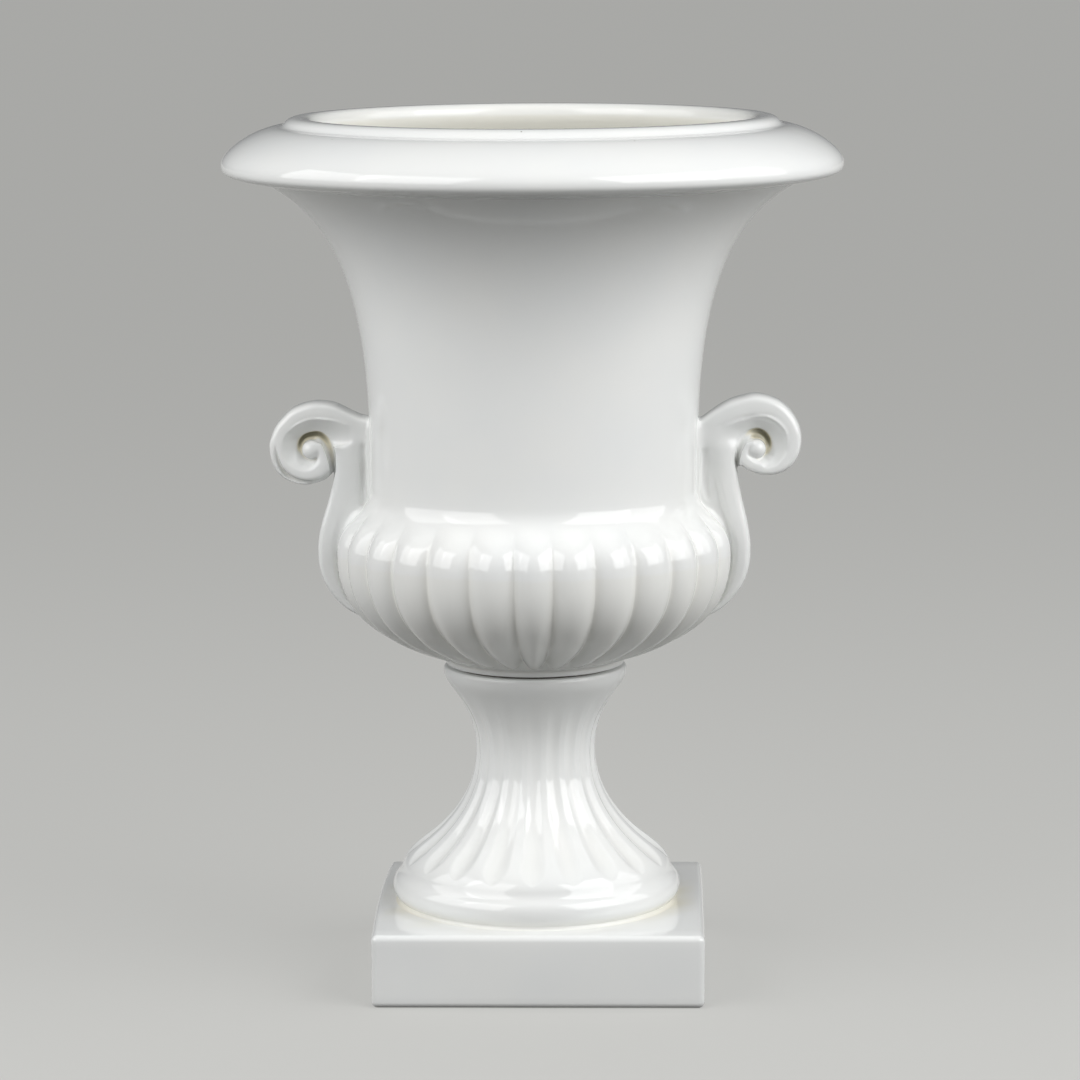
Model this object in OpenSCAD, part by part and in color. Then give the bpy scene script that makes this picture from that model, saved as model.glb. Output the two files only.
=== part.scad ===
// Two-handled urn on a square plinth, cast in white earthenware under a clear gloss glaze.
// Millimetres, +Z up. The origin is under the middle of the plinth, the front is -Y
// and the two scroll handles lie along X. Heights are measured from the plinth up,
// and those of the vessel from the joint between the vessel and its foot.

/* [Plinth] */
// Side of the square plinth
plinth_w = 144.6; // [132:0.1:180]
// Height of the plinth
plinth_h = 32; // [26:0.5:50]
// Radius of the soft edges of the plinth
plinth_edge = 3.5; // [2:0.1:5]
// Thickness of the cast plinth
plinth_wall = 8; // [6:0.5:10]
// Radius of the hand hole through the top of the plinth
access_r = 46; // [40:0.5:48]
// How far the plinth sits to the right of the axis, as luted on by hand
plinth_off = 2.4; // [0:0.1:3]

/* [Foot] */
// Height of the foot, from the plinth to the joint
foot_h = 106; // [90:1:130]
// Outer radius of the round bead at the bottom of the foot
bead_r = 63.8; // [62:0.1:70]
// Radius of the bead's own rounding
bead_round = 7.2; // [6:0.1:8]
// Radius at which the ribs stand on the bead
rib_r = 59.8; // [56:0.1:61]
// Radius of the narrow waist
waist_r = 26.4; // [25:0.1:32]
// Height of the waist above the plinth
waist_h = 68; // [60:0.5:74]
// Radius of the collar at the top of the foot
collar_r = 40.4; // [38:0.1:46]
// Number of flutes round the foot
flute_count = 20; // [12:1:24]
// Depth of a flute at the bottom of the foot
flute_depth = 2; // [0.8:0.1:2.6]
// Thickness of the plate that carries the vessel
foot_plate = 8; // [6:0.5:12]
// Radius of the hollow in the waist
waist_bore = 19.4; // [14:0.1:20]

/* [Bowl] */
// Radius of the ring that the vessel stands on
bowl_foot_r = 39.5; // [37:0.1:44]
// Height of that ring
bowl_foot_h = 3; // [2:0.1:5]
// Largest radius of the gadrooned belly
belly_r = 88; // [82:0.5:100]
// Height of the belly's widest line
belly_h = 51; // [44:0.5:58]
// Number of gadroons round the belly
gadroon_count = 28; // [20:1:32]
// Depth of the grooves between the gadroons
gadroon_depth = 2; // [0.8:0.1:2.6]
// Height at which the shoulder has run into the neck
shoulder_h = 79; // [72:0.5:90]
// Thickness of the cast wall
wall = 6.5; // [5:0.5:8]
// Thickness of the floor
floor_t = 9; // [8:0.5:12]
// Radius of the flat part of the floor
floor_r = 36; // [28:0.5:42]

/* [Neck and rim] */
// Outer radius of the neck
neck_r = 72; // [64:0.5:80]
// Height of the whole vessel
vessel_h = 241; // [225:1:270]
// Outer radius of the flared mouth, on which the rim rests
seat_r = 117; // [110:0.5:122]
// Radius at which the rim meets the lip
lip_r = 108; // [104:0.5:110]
// Height of the seat that the rolled rim sits on
seat_h = 23.8; // [22:0.2:28]
// Radius of the mouth
mouth_r = 95.5; // [86:0.5:97]
// Rise of the lip above the rolled rim
lip_h = 3.8; // [2.5:0.1:5]
// Outer radius of the rolled rim
rim_r = 135.3; // [130:0.1:150]
// Height of the rim's widest line above its underside
rim_mid = 7.1; // [6:0.1:8]
// Wall of the hollow rim
rim_wall = 5.5; // [4:0.5:6]

/* [Handles] */
// Width of the handle strap, from front to back
strap_w = 18.8; // [14:0.2:22]
// Thickness of the strap on the belly
strap_t = 8.4; // [6:0.1:9]
// Height of the strap's lower end
strap_low = 22; // [18:0.5:28]
// Distance from the neck to the eye of the scroll
eye_out = 25.5; // [24:0.5:30]
// Height of the scroll's eye
eye_h = 95.5; // [90:0.5:105]
// Radius of the scroll's eye
eye_r = 4.2; // [3.4:0.1:5]
// Radius of the scroll where it starts
scroll_r = 22.5; // [21:0.5:26]
// Thickness of the scroll's band where it starts
scroll_t = 8; // [6:0.5:10]
// Thickness of the web that closes the scroll
web_t = 11; // [7:0.5:14]
// How much higher the right scroll sits, as set by hand
right_lift = 3; // [0:0.1:4]

/* [Joint] */
// Thickness of the cork ring between the vessel and its foot
gasket_t = 1; // [0.6:0.1:3]
// Radius of the cork ring
gasket_r = 36; // [26:0.5:37]
// Thread diameter of the tie bolt
bolt_d = 8; // [6:0.5:10]
// Clearance round the bolt in the bores
bore_gap = 0.8; // [0.3:0.1:1.5]
// Diameter of the steel washers
washer_d = 24; // [20:0.5:28]
// Thickness of the steel washers
washer_t = 1.6; // [1:0.1:3]
// Thickness of the rubber seals
seal_t = 1.5; // [1:0.1:3]
// How far the bolt stands out of its nut
bolt_tail = 4; // [2:0.5:12]

/* [Hidden] */
$fn = 96;
glaze = "ivory";
// Heights of the stack
foot_top = plinth_h + foot_h;
joint_z = foot_top + gasket_t;
// Small overlap by which joined forms of one piece run into each other
lap = 0.5;
// Amount by which a turned form covers the faceted form that it joins
cover = 0.3;
// Thread clearance between the bolt and its nut
thread_gap = 0.1;
bore_d = bolt_d + 2 * bore_gap;
// Spanner size and heights of the bolt's head and nut
hex_d = 1.85 * bolt_d;
head_t = 0.66 * bolt_d;
nut_t = 0.8 * bolt_d;
// Heights in the vessel
seat_top = vessel_h - lip_h;
seat_low = seat_top - seat_h;
// Steps along a curve of a turned profile
steps = 12;

// One point on a cubic curve through p[0] and p[3], drawn towards p[1] and p[2]
function bezier(p, t) = pow(1 - t, 3) * p[0] + 3 * t * pow(1 - t, 2) * p[1]
    + 3 * t * t * (1 - t) * p[2] + pow(t, 3) * p[3];
// Points along that curve, from step first on
function curve(p, n = steps, first = 0) = [for (i = [first:n]) bezier(p, i / n)];
// The unit normal on the right of the curve's direction
function bezier_normal(p, t) = let (d = bezier(p, min(t + 0.01, 1)) - bezier(p, max(t - 0.01, 0)))
    [d[1], -d[0]] / norm(d);
// The place along a curve that rises, found by halving, at which it reaches height h
function at_height(p, h, lo = 0, hi = 1, n = 14) = let (m = (lo + hi) / 2)
    n == 0 ? m : bezier(p, m)[1] < h ? at_height(p, h, m, hi, n - 1) : at_height(p, h, lo, m, n - 1);
function ease(x) = let (c = min(max(x, 0), 1)) c * c * (3 - 2 * c);
function mix(a, b, t) = a + (b - a) * t;

// A closed solid through rings of points that run anticlockwise round its direction
module loft(rings) {
    n = len(rings[0]);
    m = len(rings);
    sides = [for (i = [0:m - 2], j = [0:n - 1])
        let (a = i * n + j, b = i * n + (j + 1) % n)
        each [[a, a + n, b], [b, a + n, b + n]]];
    first = [for (j = [0:n - 1]) j];
    last = [for (j = [n - 1:-1:0]) (m - 1) * n + j];
    polyhedron([for (ring = rings) each ring], concat([first], sides, [last]), convexity = 6);
}

// A rectangle w wide, from the line y = 0 to h, with its corners rounded
function soft_rect(w, h, top_r, low_r, n = 5) = concat(
    [for (i = [0:n]) let (a = -90 + 90 * i / n)
        [w / 2 - low_r + low_r * cos(a), low_r + low_r * sin(a)]],
    [for (i = [0:n]) let (a = 90 * i / n)
        [w / 2 - top_r + top_r * cos(a), h - top_r + top_r * sin(a)]],
    [for (i = [0:n]) let (a = 90 + 90 * i / n)
        [-w / 2 + top_r + top_r * cos(a), h - top_r + top_r * sin(a)]],
    [for (i = [0:n]) let (a = 180 + 90 * i / n)
        [-w / 2 + low_r + low_r * cos(a), low_r + low_r * sin(a)]]);

// Square plinth with soft edges, open underneath
module plinth() {
    side = soft_rect(plinth_w, plinth_h, plinth_edge, plinth_edge / 3);
    color(glaze) difference() {
        translate([plinth_off, 0, 0]) intersection() {
            rotate([90, 0, 0]) linear_extrude(plinth_w + 2, center = true) polygon(side);
            rotate([90, 0, 90]) linear_extrude(plinth_w + 2, center = true) polygon(side);
            translate([0, -plinth_w / 2, 0]) linear_extrude(plinth_h + 2)
                polygon(soft_rect(plinth_w, plinth_w, plinth_edge, plinth_edge));
        }
        inside = plinth_w - 2 * plinth_wall;
        translate([plinth_off - inside / 2, -inside / 2, -1])
            cube([inside, inside, plinth_h - plinth_wall + 1]);
        cylinder(h = 3 * plinth_h, r = access_r, center = true);
    }
}

// Crest lines of the foot, as radius and height above the plinth
rib_foot_h = bead_round * 2;
turn_h = mix(rib_foot_h, waist_h, 0.27);
turn_r = mix(rib_r, waist_r, 0.365);
flare_h = mix(waist_h, foot_h, 0.737);
flare_r = mix(waist_r, collar_r, 0.72);
rib_curve = [[rib_r, rib_foot_h], [rib_r - 0.2, mix(rib_foot_h, turn_h, 0.4)],
    [turn_r + 5, turn_h - 4], [turn_r, turn_h]];
lower_curve = [[turn_r, turn_h], [turn_r - 12.5, turn_h + 10],
    [waist_r, waist_h - 16], [waist_r, waist_h]];
upper_curve = [[waist_r, waist_h], [waist_r, waist_h + 11],
    [flare_r - 6.7, flare_h - 9], [flare_r, flare_h]];
collar_curve = [[flare_r, flare_h], [flare_r + 2, flare_h + 2.7],
    [collar_r, foot_h - 5], [collar_r, foot_h - 1.8]];

// One ring of the fluted foot, cut in along the normal between the ribs
function fluted_ring(p, t) = let (
    q = bezier(p, t),
    nrm = bezier_normal(p, t),
    share = (q[0] - waist_r) / (rib_r - waist_r),
    depth = flute_depth * mix(0.25, 1, share))
    [for (j = [0:8 * flute_count - 1])
        let (s = (j % 8) / 4 - 1, a = 45 * j / flute_count - 90 + 180 / flute_count,
            g = depth * max(0, 1 - pow(s / 0.6, 2)), r = q[0] - g * nrm[0])
        [r * cos(a), r * sin(a), q[1] - g * nrm[1]]];
function lowered(ring, h) = [for (p = ring) [p[0], p[1], h]];

// Fluted foot: bead, fluted waist and collar, hollow from below, with a plate on top
module foot() {
    bead_c = [bead_r - bead_round, bead_round];
    hollow_r = bead_r - 1.8 * bead_round;
    plate_z = foot_h - foot_plate;
    splice_h = waist_h - 2;
    rows = concat([lowered(fluted_ring(rib_curve, 0), rib_foot_h - 2.5)],
        [for (i = [0:3]) fluted_ring(rib_curve, i / 4)],
        [for (i = [0:4]) fluted_ring(lower_curve, i / 5)],
        [for (i = [0:3]) fluted_ring(upper_curve, i / 4)]);
    top = fluted_ring(upper_curve, 1);
    color(glaze) translate([0, 0, plinth_h]) difference() {
        union() {
            rotate_extrude() polygon(concat([[0, 0]],
                [for (i = [0:steps]) let (a = mix(-75, 90, i / steps))
                    [bead_c[0] + bead_round * cos(a),
                     i == 0 ? 0 : bead_c[1] + bead_round * sin(a)]],
                [[0, 2 * bead_round]]));
            loft(concat(rows, [lowered(top, flare_h)]));
            rotate_extrude() polygon(concat([[0, flare_h - lap]],
                [[flare_r + cover, flare_h - lap]],
                [for (p = curve(collar_curve, 8, 1)) [p[0] + cover * (foot_h - p[1]) / foot_h, p[1]]],
                [[collar_r - 1.2, foot_h], [0, foot_h]]));
        }
        rotate_extrude() polygon(concat([[0, -1], [hollow_r, -1]],
            curve([[hollow_r, 0], [hollow_r - 2, 0.3 * splice_h],
                [waist_bore, 0.54 * splice_h], [waist_bore, splice_h]]),
            curve([[waist_bore, splice_h], [waist_bore, mix(splice_h, plate_z, 0.36)],
                [waist_bore + 4.6, mix(splice_h, plate_z, 0.75)], [waist_bore + 6, plate_z]], 8, 1),
            [[0, plate_z]]));
        cylinder(h = foot_h + 1, d = bore_d);
    }
}

// Cork ring on which the vessel stands
module joint_gasket() {
    color("tan") translate([0, 0, foot_top]) difference() {
        cylinder(h = gasket_t, r = gasket_r);
        translate([0, 0, -1]) cylinder(h = gasket_t + 2, d = bore_d);
    }
}

// Crest lines of the vessel, as radius and height above the joint
belly_rise = belly_h - bowl_foot_h;
belly_low = bowl_foot_r + 0.5;
belly_curve = [[belly_low, bowl_foot_h],
    [mix(belly_low, belly_r, 0.71), bowl_foot_h + 0.21 * belly_rise],
    [belly_r, bowl_foot_h + 0.5 * belly_rise], [belly_r, belly_h]];
shoulder_curve = [[belly_r, belly_h], [belly_r, mix(belly_h, shoulder_h, 0.64)],
    [neck_r, mix(belly_h, shoulder_h, 0.5)], [neck_r, shoulder_h]];
neck_curve = [[neck_r, shoulder_h], [neck_r - 0.8, mix(shoulder_h, seat_low, 0.55)],
    [mix(neck_r, seat_r, 0.185), mix(shoulder_h, seat_low, 0.86)], [seat_r, seat_low]];
crest_r = mix(mouth_r, lip_r, 0.4);
// Where the gadrooned form gives way to the turned shoulder
shoulder_cut = 0.75;
// Rows of the gadrooned form up the belly and over the shoulder
belly_rows = 8;
shoulder_rows = 6;
// The turned form's line over the rest of the shoulder, a little outside the crests below it
shoulder_line = let (low = bezier(shoulder_curve, shoulder_cut), n = 4) concat(
    [[low[0] + lap + cover, low[1] - lap]],
    [for (i = [0:n]) let (p = bezier(shoulder_curve, mix(shoulder_cut, 1, i / n)))
        [p[0] + cover * (1 - i / n), p[1]]]);
// Inner radius of the bowl
bowl_in_r = belly_r - wall - gadroon_depth;

// One ring of the gadrooned belly, each gadroon a round swelling between two grooves
function gadroon_ring(p, t, depth) = let (q = bezier(p, t), nrm = bezier_normal(p, t))
    [for (j = [0:6 * gadroon_count - 1])
        let (s = (j % 6) / 3 - 1, a = 60 * j / gadroon_count - 90 - 180 / gadroon_count,
            g = depth * s * s, r = q[0] - g * nrm[0])
        [r * cos(a), r * sin(a), q[1] - g * nrm[1]]];

// The outer form of the turned part of the vessel, from the shoulder to the lip
module turned_form() {
    rotate_extrude() polygon(concat([[0, shoulder_line[0][1]]], shoulder_line,
        curve(neck_curve, steps, 1),
        curve([[lip_r, seat_top], [lip_r - 1, seat_top + 0.5 * lip_h],
            [mix(mouth_r, lip_r, 0.7), vessel_h], [crest_r, vessel_h]], 6),
        curve([[crest_r, vessel_h], [mix(mouth_r, crest_r, 0.4), vessel_h],
            [mouth_r, vessel_h - 1.4], [mouth_r, vessel_h - 4.5]], 6, 1),
        [[0, vessel_h - 4.5]]));
}

// The space inside the vessel
module vessel_hollow() {
    flare_t = 1.2 * wall;
    rotate_extrude() polygon(concat([[0, floor_t], [floor_r, floor_t]],
        curve([[floor_r, floor_t], [mix(floor_r, bowl_in_r, 0.69), mix(floor_t, belly_h, 0.23)],
            [bowl_in_r, mix(floor_t, belly_h, 0.52)], [bowl_in_r, belly_h]], steps, 1),
        curve([for (p = shoulder_curve) [p[0] > neck_r ? bowl_in_r : p[0] - wall, p[1]]], 8, 1),
        curve([for (p = neck_curve) [p[0] - (p[0] > neck_r ? flare_t : wall), p[1]]], steps, 1),
        curve([[seat_r - flare_t, seat_low], [seat_r - wall, mix(seat_low, seat_top, 0.3)],
            [mouth_r + 3, mix(seat_low, seat_top, 0.6)], [mouth_r, vessel_h - 6]], 6, 1),
        [[mouth_r, vessel_h + 1], [0, vessel_h + 1]]));
}

// Bell-shaped vessel: standing ring, gadrooned belly, plain neck, seat for the rim, and lip
module vessel() {
    low_rows = [for (i = [0:belly_rows - 1]) let (t = i / belly_rows)
        gadroon_ring(belly_curve, t, gadroon_depth * mix(0.75, 1, t) * ease(t / 0.12))];
    high_rows = [for (i = [0:shoulder_rows]) let (t = shoulder_cut * i / shoulder_rows)
        gadroon_ring(shoulder_curve, t, gadroon_depth * ease((shoulder_cut - t) / 0.6))];
    color(glaze) translate([0, 0, joint_z]) difference() {
        union() {
            cylinder(h = bowl_foot_h + lap, r = bowl_foot_r);
            loft(concat(low_rows, high_rows));
            turned_form();
        }
        vessel_hollow();
        translate([0, 0, -1]) cylinder(h = floor_t + 2, d = bore_d);
    }
}

// Hollow rolled rim, dropped over the lip and luted to the flared mouth
module rim_ring() {
    // Radius of the seat at a height on it
    function seat_at(h) = mix(seat_r, lip_r, (h - seat_low) / seat_h);
    mid = seat_low + rim_mid;
    outer = concat(
        curve([[seat_r, seat_low], [mix(seat_r, rim_r, 0.74), seat_low + 2.6],
            [rim_r, mid - 4.8], [rim_r, mid]]),
        curve([[rim_r, mid], [rim_r, mix(mid, seat_top, 0.4)],
            [mix(lip_r, rim_r, 0.44), seat_top - 0.6], [lip_r, seat_top]], steps, 1));
    in_r = rim_r - rim_wall - 1;
    low = seat_low + rim_wall + 2.6;
    high = seat_top - rim_wall - 2;
    low_r = seat_at(low) - 1;
    high_r = seat_at(high) - 1;
    inner = concat(
        curve([[low_r, low], [mix(low_r, in_r, 0.5), low], [in_r, low], [in_r, low + 2]], 6),
        curve([[in_r, low + 2], [in_r, mix(low, high, 0.7)],
            [mix(high_r, in_r, 0.6), high], [high_r, high]], 6, 1));
    color(glaze) translate([0, 0, joint_z]) difference() {
        rotate_extrude() polygon(outer);
        rotate_extrude() polygon(inner);
    }
}

// Rings of a band that follows a path in the XZ plane; each path entry is
// [x, z, half thickness, half width], and the section is a softened rectangle
function band_rings(path, n = 12) = [for (i = [0:len(path) - 1])
    let (p = path[i], q = path[max(i - 1, 0)], r = path[min(i + 1, len(path) - 1)],
        d = [r[0] - q[0], r[1] - q[1]] / norm([r[0] - q[0], r[1] - q[1]]))
    [for (j = [0:n - 1]) let (a = 360 * (j + 0.5) / n,
            u = sign(cos(a)) * pow(abs(cos(a)), 0.7), v = sign(sin(a)) * pow(abs(sin(a)), 0.6))
        [p[0] + p[2] * u * d[1], p[3] * v, p[1] - p[2] * u * d[0]]]];

// Depth to which the strap's form runs into the belly before it is cut back
sunk = 1.2;
// Thickness of the strap against the neck, and the radius of its middle there
rise_t = 11.5;
rise_r = neck_r + 9.6;

// The scroll's centre line turns one and a quarter times round the eye
scroll_turn = 450;
function scroll_point(u, lift) = let (
    a = 180 - scroll_turn * u,
    half = mix(scroll_t, 0.4 * scroll_t, u) / 2,
    r = mix(scroll_r, eye_r + 2.3, u) + 10 * u * (1 - u) - half)
    [neck_r + eye_out + r * cos(a), eye_h + lift * (1 - pow(u, 4)) + r * sin(a), half,
     mix(strap_w, 0.9 * strap_w, u) / 2];

// Scroll handle on the +X side: strap on the belly, scroll, eye and web
module handle(lift) {
    eye = [neck_r + eye_out, eye_h];
    out = strap_t / 2 - sunk;
    strap = concat(
        [for (i = [0:9]) let (t = mix(at_height(belly_curve, strap_low), 1, i / 9),
                p = bezier(belly_curve, t), nrm = bezier_normal(belly_curve, t),
                half = strap_t / 2 * mix(0.35, 1, ease(i / 8)))
            [p[0] + (half - sunk) * nrm[0], p[1] + (half - sunk) * nrm[1], half,
             strap_w / 2 * mix(0.8, 1, ease(i / 4))]],
        [for (i = [1:8]) let (t = i / 8,
                p = bezier([[belly_r + out, belly_h], [belly_r + out, mix(belly_h, shoulder_h, 0.5)],
                    [rise_r, shoulder_h - 8], [rise_r, eye_h + lift + 2]], t))
            [p[0], p[1], mix(strap_t, rise_t, ease(t)) / 2, strap_w / 2]]);
    scroll = [for (i = [1:36]) scroll_point(i / 36, lift)];
    web_line = [for (i = [2:2:28]) let (p = scroll_point(i / 36, lift)) [p[0], p[1]]];
    translate([0, 0, joint_z]) difference() {
        union() {
            loft(band_rings(strap));
            loft(band_rings(scroll));
            rotate([90, 0, 0]) linear_extrude(web_t, center = true) polygon(web_line);
            rotate([90, 0, 0]) linear_extrude(web_t, center = true) polygon([
                [neck_r - 4, shoulder_h - 6], [neck_r + 9, shoulder_h - 6],
                [eye[0] - 12, eye[1] - 6], [eye[0] - 2, eye[1] + 2],
                [eye[0] - 12, eye[1] + 16], [neck_r - 4, eye[1] + 12]]);
            translate([eye[0], 0, eye[1]]) rotate([90, 0, 0])
                cylinder(h = 0.96 * strap_w, r = eye_r, center = true);
        }
        envelope();
    }
}

// Solid of the vessel's crest lines, from which the handles are cut back
module envelope() {
    rotate_extrude() polygon(concat([[0, bowl_foot_h]], curve(belly_curve, belly_rows),
        [for (i = [1:shoulder_rows - 1]) bezier(shoulder_curve, shoulder_cut * i / shoulder_rows)],
        shoulder_line, curve(neck_curve, steps, 1), [[0, seat_low]]));
}

module handle_right() { color(glaze) handle(right_lift); }

module handle_left() { color(glaze) mirror([1, 0, 0]) handle(0); }

// A flat ring on the bolt
module bolt_ring(z, t, d, hole) {
    translate([0, 0, z]) difference() {
        cylinder(h = t, d = d);
        translate([0, 0, -1]) cylinder(h = t + 2, d = hole);
    }
}

// Heights of the stack on the bolt, above and below the clamped pieces
above = joint_z + floor_t;
below = foot_top - foot_plate;
nut_z = below - seal_t - washer_t - nut_t;

// Hexagon-headed bolt through the floor and the top of the foot
module tie_bolt() {
    head_z = above + seal_t + washer_t;
    color("silver") union() {
        translate([0, 0, head_z]) cylinder(h = head_t, d = hex_d, $fn = 6);
        translate([0, 0, nut_z - bolt_tail])
            cylinder(h = head_z - nut_z + bolt_tail + lap, d = bolt_d);
    }
}

module bolt_seal_upper() { color("dimgray") bolt_ring(above, seal_t, washer_d + 2, bolt_d); }

module bolt_washer_upper() {
    color("silver") bolt_ring(above + seal_t, washer_t, washer_d, bolt_d + 2 * thread_gap);
}

module bolt_seal_lower() { color("dimgray") bolt_ring(below - seal_t, seal_t, washer_d + 2, bolt_d); }

module bolt_washer_lower() {
    color("silver")
        bolt_ring(below - seal_t - washer_t, washer_t, washer_d, bolt_d + 2 * thread_gap);
}

module tie_nut() {
    color("silver") translate([0, 0, nut_z]) difference() {
        cylinder(h = nut_t, d = hex_d, $fn = 6);
        translate([0, 0, -1]) cylinder(h = nut_t + 2, d = bolt_d + 2 * thread_gap);
    }
}

plinth();
foot();
joint_gasket();
vessel();
rim_ring();
handle_left();
handle_right();
tie_bolt();
bolt_seal_upper();
bolt_washer_upper();
bolt_seal_lower();
bolt_washer_lower();
tie_nut();
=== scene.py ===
# A two-handled urn in white earthenware under a clear gloss glaze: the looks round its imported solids.
# Lengths are in millimetres until a mesh is finished, and in metres in the studio. Heights in the
# vessel and its handles count from the joint under the vessel, and those in the foot from the top
# of the plinth.
import math

import bmesh
import bpy
from mathutils import Matrix, Vector, kdtree, noise


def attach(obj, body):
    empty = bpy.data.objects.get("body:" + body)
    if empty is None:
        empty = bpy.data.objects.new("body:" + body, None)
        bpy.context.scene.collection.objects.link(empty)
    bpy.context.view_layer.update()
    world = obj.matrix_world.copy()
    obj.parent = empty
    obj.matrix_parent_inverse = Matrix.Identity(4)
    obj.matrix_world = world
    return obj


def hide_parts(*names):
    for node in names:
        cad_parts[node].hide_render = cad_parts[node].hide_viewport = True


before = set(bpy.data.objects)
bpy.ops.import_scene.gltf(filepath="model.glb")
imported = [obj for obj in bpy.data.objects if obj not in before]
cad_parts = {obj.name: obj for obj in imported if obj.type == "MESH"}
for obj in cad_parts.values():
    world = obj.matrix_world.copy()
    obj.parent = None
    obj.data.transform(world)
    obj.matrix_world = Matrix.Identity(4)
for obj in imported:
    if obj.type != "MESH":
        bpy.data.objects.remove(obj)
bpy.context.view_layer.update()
mm = 0.001
fullTurn = 2 * math.pi


def mix(a, b, t):
    return a + (b - a) * t


def ease(x):
    x = min(max(x, 0.0), 1.0)
    return x * x * (3 - 2 * x)


def rise(x, start, end):
    # from 0 at the start to 1 at the end, softly
    return ease((x - start) / (end - start))


def bezier(p, t):
    s = 1 - t
    return tuple(s**3 * a + 3 * t * s * s * b + 3 * t * t * s * c + t**3 * d for a, b, c, d in zip(*p))


def curve(p, n, first=0):
    return [bezier(p, i / n) for i in range(first, n + 1)]


def along(points, at):
    # the value that belongs to a place on a line of (place, value) pairs
    for (a, valueA), (b, valueB) in zip(points, points[1:]):
        if at <= b:
            return mix(valueA, valueB, rise(at, a, b))
    return points[-1][1]


def roundEnd(share):
    # half the width of a rounded end, as a share, that far along it
    share = min(max(share, 0.0), 1.0)
    return math.sqrt(1 - (1 - share) ** 2)


def wave(angle, z, form):
    # slow unevenness about from -1 to 1: its detail round a turned form and its length up it
    detail, high = form
    return noise.noise(Vector((math.cos(angle) * detail, math.sin(angle) * detail, z / high)))


# Materials


def linear(hexCode):
    parts = [int(hexCode[i : i + 2], 16) / 255 for i in (0, 2, 4)]
    return [c / 12.92 if c <= 0.04045 else ((c + 0.055) / 1.055) ** 2.4 for c in parts] + [1.0]


def addNode(tree, kind, settings=None, inputs=None):
    node = tree.nodes.new("ShaderNode" + kind)
    for name, value in (settings or {}).items():
        setattr(node, name, value)
    for name, value in (inputs or {}).items():
        socket = node.inputs[name]
        if isinstance(value, bpy.types.NodeSocket):
            tree.links.new(value, socket)
        else:
            socket.default_value = value
    return node


def newMaterial(name):
    material = bpy.data.materials.new(name)
    material.use_nodes = True
    material.node_tree.nodes.clear()
    return material, material.node_tree


# Clear lead-free glaze over white slip-cast earthenware. It is glossy and nearly even, a little
# ivory where it pooled, with slow waves and a few pinholes half a millimetre across. Its deepest
# pools, beside the handles' eyes, are darkened further with painted shade.
glaze = {
    "white": "F1F1EE",
    "cool": "E9EBEB",
    "thinPool": "E6E0CA",
    # the deep pool's colour is partly painted shade, darker than pooled glaze alone
    "deepPoolAndShade": "8F8B76",
    "pinhole": "8F8A7C",
    "roughness": 0.025,
    "ior": 1.5,
    "toneMm": 45.0,
    "waveMm": 11.0,
    "waveDepth": 0.012,
    "pinholeCellMm": 16.0,  # each cell may have one pinhole in its middle
    "pinholeMm": 0.5,
    "pinholeEdge": (0.35, 0.9),  # where its edge starts and ends, as shares of its width
    "pinholeDepth": 0.15,
    "withoutPinhole": 0.74,  # share of the cells
}


def glazedEarthenware():
    g = glaze
    material, tree = newMaterial("glazedEarthenware")
    colours = {"data_type": "RGBA"}
    place = addNode(tree, "TexCoord").outputs["Object"]
    scale = 1000 / g["toneMm"]
    tone = addNode(tree, "TexNoise", inputs={"Vector": place, "Scale": scale, "Detail": 2.0})
    shades = {"Factor": tone.outputs["Fac"], "A": linear(g["white"]), "B": linear(g["cool"])}
    colour = addNode(tree, "Mix", colours, shades).outputs["Result"]
    # the attribute is 0 on bare glaze, 0.5 where a pool is thin and 1 where it is deep; above 0.5 the tint
    # is also painted shade
    pool = addNode(tree, "Attribute", {"attribute_name": "pool"}).outputs["Fac"]
    for start, tint in ((0.0, g["thinPool"]), (0.5, g["deepPoolAndShade"])):
        span = {"Value": pool, "From Min": start, "From Max": start + 0.5}
        share = addNode(tree, "MapRange", inputs=span).outputs["Result"]
        shades = {"Factor": share, "A": colour, "B": linear(tint)}
        colour = addNode(tree, "Mix", colours, shades).outputs["Result"]
    scale = 1000 / g["pinholeCellMm"]
    cells = addNode(tree, "TexVoronoi", inputs={"Vector": place, "Scale": scale})
    start, end = [share * g["pinholeMm"] / g["pinholeCellMm"] for share in g["pinholeEdge"]]
    span = {"From Min": start, "From Max": end, "To Min": 1.0, "To Max": 0.0}
    near = addNode(tree, "MapRange", inputs={"Value": cells.outputs["Distance"], **span})
    pick = addNode(tree, "SeparateColor", inputs={"Color": cells.outputs["Color"]})
    chosen = {0: pick.outputs["Red"], 1: g["withoutPinhole"]}
    few = addNode(tree, "Math", {"operation": "GREATER_THAN"}, chosen)
    both = {0: near.outputs["Result"], 1: few.outputs["Value"]}
    hole = addNode(tree, "Math", {"operation": "MULTIPLY"}, both).outputs["Value"]
    shades = {"Factor": hole, "A": colour, "B": linear(g["pinhole"])}
    colour = addNode(tree, "Mix", colours, shades).outputs["Result"]
    scale = 1000 / g["waveMm"]
    slow = addNode(tree, "TexNoise", inputs={"Vector": place, "Scale": scale, "Detail": 1.0})
    form = {"Height": slow.outputs["Fac"], "Distance": g["waveDepth"] * mm}
    waved = addNode(tree, "Bump", inputs=form).outputs["Normal"]
    form = {"Height": hole, "Distance": g["pinholeDepth"] * mm, "Normal": waved}
    pitted = addNode(tree, "Bump", {"invert": True}, form).outputs["Normal"]
    finish = {"Base Color": colour, "Roughness": g["roughness"], "IOR": g["ior"], "Normal": pitted}
    shader = addNode(tree, "BsdfPrincipled", inputs=finish)
    addNode(tree, "OutputMaterial", inputs={"Surface": shader.outputs["BSDF"]})
    return material


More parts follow.
